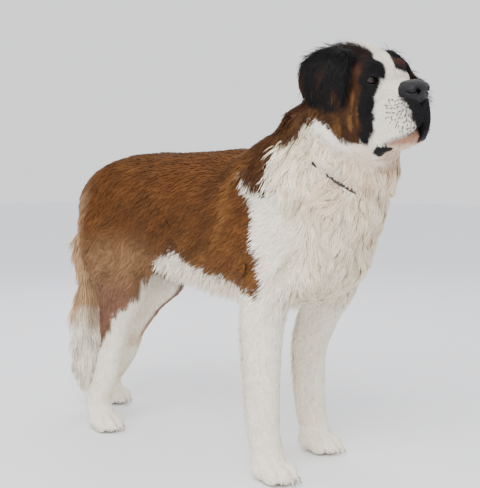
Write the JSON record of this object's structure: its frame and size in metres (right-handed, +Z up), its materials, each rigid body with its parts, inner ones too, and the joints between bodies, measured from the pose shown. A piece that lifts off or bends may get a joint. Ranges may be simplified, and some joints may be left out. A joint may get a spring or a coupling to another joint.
{
  "type": "saint bernard",
  "caption": "Life-size still model of a standing Saint Bernard dog with hanging ears, heavy flews, a ruff, a brushy tail and a thin slip collar.",
  "frame": {"origin": "on the floor, under the middle of the whole dog's box", "axes": "+X towards the dog's front, +Y towards its left side, +Z up"},
  "size_m": [1.2451, 0.3972, 1.0087],
  "materials": {
    "coat_white": "soft fur",
    "coat_brown": "soft fur",
    "coat_dark": "soft fur",
    "lip": "moist skin",
    "nose": "moist pebbled leather",
    "eye": "wet gloss",
    "collar": "satin"
  },
  "bodies": {
    "root": {"head": "coat_white", "jaw": "lip", "nose": "nose", "eye_left": "eye", "eye_right": "eye", "ear_left": "coat_dark", "ear_right": "coat_dark", "neck": "coat_white", "collar": "collar", "chest": "coat_white", "barrel": "coat_brown", "rump": "coat_brown", "tail_root": "coat_brown", "tail_brush": "coat_white", "foreleg_left": "coat_white", "foreleg_right": "coat_white", "forepaw_left": "coat_white", "forepaw_right": "coat_white", "hindleg_left": "coat_white", "hindleg_right": "coat_white", "hock_left": "coat_white", "hock_right": "coat_white", "hindpaw_left": "coat_white", "hindpaw_right": "coat_white"}
  },
  "joints": []
}
